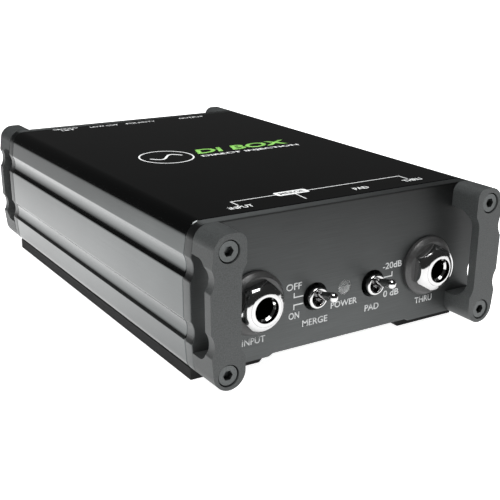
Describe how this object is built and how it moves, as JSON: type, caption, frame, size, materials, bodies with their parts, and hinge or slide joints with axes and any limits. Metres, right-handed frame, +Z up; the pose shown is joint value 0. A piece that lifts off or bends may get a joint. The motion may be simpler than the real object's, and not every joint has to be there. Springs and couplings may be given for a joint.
{
  "type": "direct injection box",
  "caption": "Compact stage direct box: black extruded case between two end plates with corner guard bars, jack sockets and toggle switches in front, a pin socket behind.",
  "frame": {"origin": "on the ground under the middle of the box (bottom centre of its bounding box)", "axes": "+Z up; the front plate with the jacks faces -Y; +X is to the right of a person facing the front"},
  "size_m": [0.1002, 0.1588, 0.045],
  "materials": {
    "case_black": "satin black anodised, drawn along its length",
    "plate_black": "black anodised, brushed across",
    "guard_black": "bead-blasted, black anodised",
    "foot_rubber": "matt",
    "black_screws": "blackened steel",
    "plated_chrome": "polished plating",
    "washer_black": "semi-matt insulator",
    "housing_black": "moulded",
    "contact_gold": "gold plated",
    "switch_blue": "moulded",
    "tinned_pins": "tinned",
    "clear_lens": "clear",
    "led_epoxy": "milky epoxy",
    "socket_black": "black lacquered die-cast",
    "board_green": "solder mask",
    "transformer_can": "brushed screening can",
    "chip_black": "moulded epoxy",
    "capacitor_blue": "printed sleeve",
    "film_red": "dipped",
    "resistor_blue": "lacquered"
  },
  "bodies": {
    "box": {"shell": "case_black", "front_plate": "plate_black", "rear_plate": "plate_black", "left_pad": "foot_rubber", "right_pad": "foot_rubber", "front_left_guard": "guard_black", "front_right_guard": "guard_black", "rear_left_guard": "guard_black", "rear_right_guard": "guard_black", "front_guard_screws": "black_screws", "rear_guard_screws": "black_screws", "input_jack_body": "housing_black", "input_jack_sleeve": "plated_chrome", "input_jack_nut": "plated_chrome", "input_jack_washer": "washer_black", "input_jack_contacts": "contact_gold", "thru_jack_body": "housing_black", "thru_jack_sleeve": "plated_chrome", "thru_jack_nut": "plated_chrome", "thru_jack_washer": "washer_black", "thru_jack_contacts": "contact_gold", "merge_switch_case": "switch_blue", "merge_switch_bushing": "plated_chrome", "pad_switch_case": "switch_blue", "pad_switch_bushing": "plated_chrome", "ground_switch_case": "switch_blue", "ground_switch_bushing": "plated_chrome", "lowcut_switch_case": "switch_blue", "lowcut_switch_bushing": "plated_chrome", "polarity_switch_case": "switch_blue", "polarity_switch_bushing": "plated_chrome", "switch_pins": "tinned_pins", "power_lens": "clear_lens", "power_led": "led_epoxy", "power_led_leads": "tinned_pins", "output_socket_shell": "socket_black", "output_socket_insert": "housing_black", "output_socket_pins": "contact_gold", "output_socket_screws": "black_screws", "main_board": "board_green", "audio_transformer": "transformer_can", "board_chips": "chip_black", "round_capacitors": "capacitor_blue", "film_capacitors": "film_red", "board_resistors": "resistor_blue"},
    "merge_lever": {"merge_switch_lever": "plated_chrome"},
    "pad_lever": {"pad_switch_lever": "plated_chrome"},
    "ground_lever": {"ground_switch_lever": "plated_chrome"},
    "lowcut_lever": {"lowcut_switch_lever": "plated_chrome"},
    "polarity_lever": {"polarity_switch_lever": "plated_chrome"}
  },
  "joints": [
    {"name": "merge_toggle", "type": "hinge", "parent": "box", "child": "merge_lever", "pos_m": [-0.0103, -0.0664, 0.0186], "axis": [1, 0, 0], "range_deg": [0, 25]},
    {"name": "pad_toggle", "type": "hinge", "parent": "box", "child": "pad_lever", "pos_m": [0.0103, -0.0664, 0.0186], "axis": [1, 0, 0], "range_deg": [0, 25]},
    {"name": "ground_toggle", "type": "hinge", "parent": "box", "child": "ground_lever", "pos_m": [-0.03, 0.0664, 0.0186], "axis": [-1, 0, 0], "range_deg": [0, 25]},
    {"name": "lowcut_toggle", "type": "hinge", "parent": "box", "child": "lowcut_lever", "pos_m": [-0.015, 0.0664, 0.0186], "axis": [-1, 0, 0], "range_deg": [0, 25]},
    {"name": "polarity_toggle", "type": "hinge", "parent": "box", "child": "polarity_lever", "pos_m": [0, 0.0664, 0.0186], "axis": [-1, 0, 0], "range_deg": [0, 25]}
  ]
}
